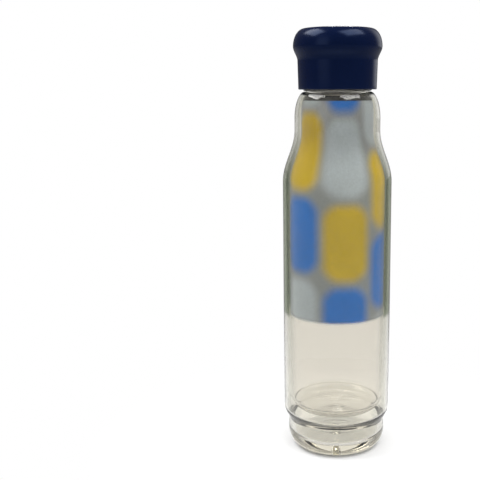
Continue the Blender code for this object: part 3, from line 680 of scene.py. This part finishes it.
def infuser_tube(finish):
    """The perforated tube: each hole is round, in a slight dimple, in a cell of its own."""
    cell = 2 * pi / COLUMNS
    quarter = HOLE_SIDES // 4
    steps = COLUMNS * quarter
    flat, index = [], {}

    def point(turn, z, sink=0.0):
        """The number of the wall's point at a turn and height, sunk by a depth. Cells share theirs."""
        key = (round((turn % (2 * pi)) * 1e5) % round(2 * pi * 1e5), round(z * 1e4))
        if key not in index:
            index[key] = len(flat)
            flat.append((turn, z, sink))
        return index[key]

    def level(z):
        """The loop of points round the tube at a height."""
        return [point((step / quarter) * cell, z) for step in range(steps)]

    square = []
    for side in range(4):
        for step in range(quarter):
            t = step / quarter - 0.5
            square.append([(0.5, t), (-t, 0.5), (-0.5, -t), (t, -0.5)][side])
    faces, holes = [], []
    for column in range(COLUMNS):
        middle = (column + 0.5) * cell
        for row in range(ROWS):
            height = TOP_ROW - row * ROW_SPACING
            rings = []
            for radius, sink in DIMPLE:
                ring = []
                for u, v in square:
                    length = (u * u + v * v) ** 0.5
                    turn, z = middle + radius * u / length / TUBE_R, height + radius * v / length
                    ring.append(point(turn, z, sink))
                rings.append(ring)
            rings.append([point(middle + u * cell, height + v * ROW_SPACING) for u, v in square])
            for inner, outer in zip(rings, rings[1:]):
                faces += band(inner, outer)
            holes.append(rings[0])
    lowest = TOP_ROW - (ROWS - 1) * ROW_SPACING - ROW_SPACING / 2
    highest = TOP_ROW + ROW_SPACING / 2
    foot, head = TUBE_BASE + TUBE_EDGE, TUBE_TOP - TUBE_EDGE
    plain_foot = [foot] + [TUBE_BASE + rise for rise in FOOT_LEVELS] + [lowest]
    for heights in (plain_foot, (highest, TUBE_TOP - HEAD_LEVEL, head)):
        loops = [level(z) for z in heights]
        for lower, upper in zip(loops, loops[1:]):
            faces += band(lower, upper, flip=True)
    count = len(flat)
    points = [((wall - sink) * cos(turn), (wall - sink) * sin(turn), z)
              for wall in (TUBE_R, TUBE_BORE) for turn, z, sink in flat]
    faces += [tuple(count + v for v in reversed(face)) for face in faces]
    for hole in holes:
        faces += band(hole, [count + v for v in hole], flip=True)
    for z, way in ((foot, 1), (head, -1)):
        faces += [face[::way] for face in band(level(z), [count + v for v in level(z)])]
    mesh_piece("infuser_tube", points, faces, finish, "infuser", "infuser_basket")


def infuser_rim(finish):
    """The rolled rim at the end of the tube, with the ledge for the screen."""
    seat = RING_BASE + LEDGE_H
    outline = [(RING_BORE + RING_EDGE, RING_TOP)]
    outline += rounded((RING_R, RING_TOP), (-CHAMFER, -CHAMFER), 90, 0, 4)
    outline += rounded((RING_R, RING_BASE), (-RING_ROUND, RING_ROUND), 0, -90, 10)
    outline.append((LEDGE_BORE + LEDGE_EDGE, RING_BASE))
    outline += arc((LEDGE_BORE + CHAMFER, RING_BASE + LEDGE_H / 2), (CHAMFER, LEDGE_H / 2), 270, 90, 6)
    outline.append((RING_BORE - FILLET, seat))
    outline += rounded((RING_BORE, seat), (-FILLET, FILLET), 270, 360, 4)
    outline.append((RING_BORE, RING_TOP - RING_EDGE))
    turned("infuser_rim", outline, finish, "infuser", "infuser_end_ring", sharp=50)


def infuser_screen(finish):
    """The woven wire screen: two sets of wires, each going over and under the other."""
    middle = (SCREEN_BASE + SCREEN_TOP) / 2
    count = int(SCREEN_R / WIRE_PITCH)
    turns = [2 * pi * side / WIRE_SIDES for side in range(WIRE_SIDES)]
    points, faces = [], []
    for way in (0, 1):
        for line in range(-count, count + 1):
            across = line * WIRE_PITCH
            half = (max(SCREEN_R ** 2 - across ** 2, 0)) ** 0.5 - WIRE_R
            if half < WIRE_SHORTEST:
                continue
            steps = max(4, int(2 * half / (WIRE_PITCH / WIRE_STEPS)))
            sign = 1 if (line + way) % 2 == 0 else -1
            rings = []
            for step in range(steps + 1):
                along = -half + 2 * half * step / steps
                lift = sign * WIRE_R * cos(pi * along / WIRE_PITCH)
                rings.append(list(range(len(points), len(points) + WIRE_SIDES)))
                for a in turns:
                    u, w = across + WIRE_R * cos(a), middle + lift + WIRE_R * sin(a)
                    points.append((along, u, w) if way == 0 else (u, along, w))
            wire = [rings[0][::-1], rings[-1]]
            for ring, following in zip(rings, rings[1:]):
                wire += band(ring, following, flip=True)
            faces += wire if way == 0 else [face[::-1] for face in wire]
    mesh_piece("infuser_screen", points, faces, finish, "infuser", "infuser_mesh")


# The studio

def world_light():
    """White behind the object and through its glass. Reflections show tall white strips in a grey room."""
    world = bpy.data.worlds.new("studio")
    bpy.context.scene.world = world
    world.use_nodes = True
    nodes = Nodes(world.node_tree)
    place = nodes.add("ShaderNodeTexCoord").outputs["Generated"]
    split = nodes.add("ShaderNodeSeparateXYZ", {0: place}).outputs
    turn = nodes.maths("ADD", nodes.maths("ARCTAN2", split["X"], split["Y"]), STRIP_PHASE)
    wave = nodes.maths("COSINE", nodes.maths("MULTIPLY", turn, STRIPS))
    level = nodes.remap(nodes.maths("ABSOLUTE", split["Z"]), *STRIP_FADE, 1.0, 0.0, "SMOOTHSTEP")
    strips = nodes.maths("MULTIPLY", nodes.remap(wave, STRIP_EDGE, 1.0, way="SMOOTHSTEP"), level)
    room = nodes.maths("ADD", nodes.maths("MULTIPLY", strips, STRIP_LEVEL), ROOM_LEVEL)
    glossy = nodes.add("ShaderNodeLightPath").outputs["Is Glossy Ray"]
    seen, _ = nodes.seen_white()
    strength = nodes.mix(seen, nodes.mix(glossy, WORLD_DIFFUSE, room), 1.0)
    nodes.put(world.node_tree.nodes["Background"], {"Color": (1.0, 1.0, 1.0), "Strength": strength})


def floor():
    """A pale floor that keeps the shadow near the object and runs out into white."""
    corners = [(x * FLOOR_HALF, y * FLOOR_HALF, 0) for x, y in ((-1, -1), (1, -1), (1, 1), (-1, 1))]
    mesh = bpy.data.meshes.new("floor")
    mesh.from_pydata(corners, [], [(0, 1, 2, 3)])
    made, nodes, shader, place = new_material("floor")
    mesh.materials.append(made)
    plane = bpy.data.objects.new("floor", mesh)
    bpy.context.scene.collection.objects.link(plane)
    flat = nodes.add("ShaderNodeVectorMath", {0: place, 1: (1, 1, 0)}, operation="MULTIPLY").outputs[0]
    away = nodes.add("ShaderNodeVectorMath", {0: flat}, operation="LENGTH").outputs["Value"]
    pale = nodes.remap(away, *PALE_SPAN, *PALE_LEVELS)
    nodes.put(shader, {"Base Color": pale, "Roughness": 0.9, "Specular IOR Level": 0.0})
    seen, through = nodes.seen_white()
    fade = nodes.remap(away, *WHITE_SPAN, way="SMOOTHSTEP")
    white = nodes.maths("MAXIMUM", fade, nodes.maths("MULTIPLY", through, WHITE_UNDER))
    glow = nodes.add("ShaderNodeEmission", {"Color": (1.0, 1.0, 1.0), "Strength": 1.0}).outputs[0]
    share = nodes.maths("MULTIPLY", white, seen)
    nodes.show("Surface", nodes.mix_shaders(share, shader.outputs[0], glow))


def area_light(name, place, aim, size, power):
    """A rectangular soft light that points from its place to its aim."""
    data = bpy.data.lights.new(name, "AREA")
    data.shape = "RECTANGLE"
    data.size, data.size_y = size
    data.energy = power
    lamp = bpy.data.objects.new(name, data)
    bpy.context.scene.collection.objects.link(lamp)
    lamp.location = place
    lamp.rotation_mode = "QUATERNION"
    lamp.rotation_quaternion = (Vector(aim) - Vector(place)).to_track_quat("-Z", "Y")


def camera():
    """The camera at the photograph's angle."""
    data = bpy.data.cameras.new("camera")
    data.sensor_width = SENSOR
    data.lens = SENSOR * FOCAL_PIXELS / PHOTO_PIXELS
    data.shift_x, data.shift_y = CAMERA_SHIFT
    data.clip_start, data.clip_end = CAMERA_CLIP
    view = bpy.data.objects.new("camera", data)
    bpy.context.scene.collection.objects.link(view)
    view.location = CAMERA_PLACE
    yaw, pitch, roll = (radians(angle) for angle in CAMERA_TURN)
    turn = Matrix.Rotation(-yaw, 3, "Z") @ Matrix.Rotation(pi / 2 + pitch, 3, "X")
    turn @= Matrix.Rotation(roll, 3, "Z")
    view.rotation_mode = "QUATERNION"
    view.rotation_quaternion = turn.to_quaternion()
    bpy.context.scene.camera = view


glass = clear_glass("outer_glass_clear", OUTER_TINT, edge_shade=EDGE_SHADE_COLOUR)
vessel = clear_glass("inner_glass_clear", VESSEL_TINT, thick=THICK_TINT)
outer_glass(glass)
inner_glass(vessel)
glass_seal(glass)
print_and_shade_film(ink("screen_ink_and_shade"))

lid_cap(plastic("navy_plastic", *NAVY))
lid_lining(plastic("black_plastic", *BLACK))
soft = plastic("milky_silicone", *MILKY)
seal_ring(soft)
grip_band(soft)

infuser_sleeve(steel("steel_collar", 0.16, LINES_ROUND))
infuser_tube(steel("steel_tube", 0.2, LINES_ALONG))
infuser_rim(steel("steel_rim", 0.16, LINES_ROUND))
infuser_screen(steel("steel_wire", 0.3, LINES_WIRE))

bpy.context.scene.view_settings.view_transform = "Standard"
world_light()
floor()
for lamp in LAMPS:
    area_light(*lamp)
camera()
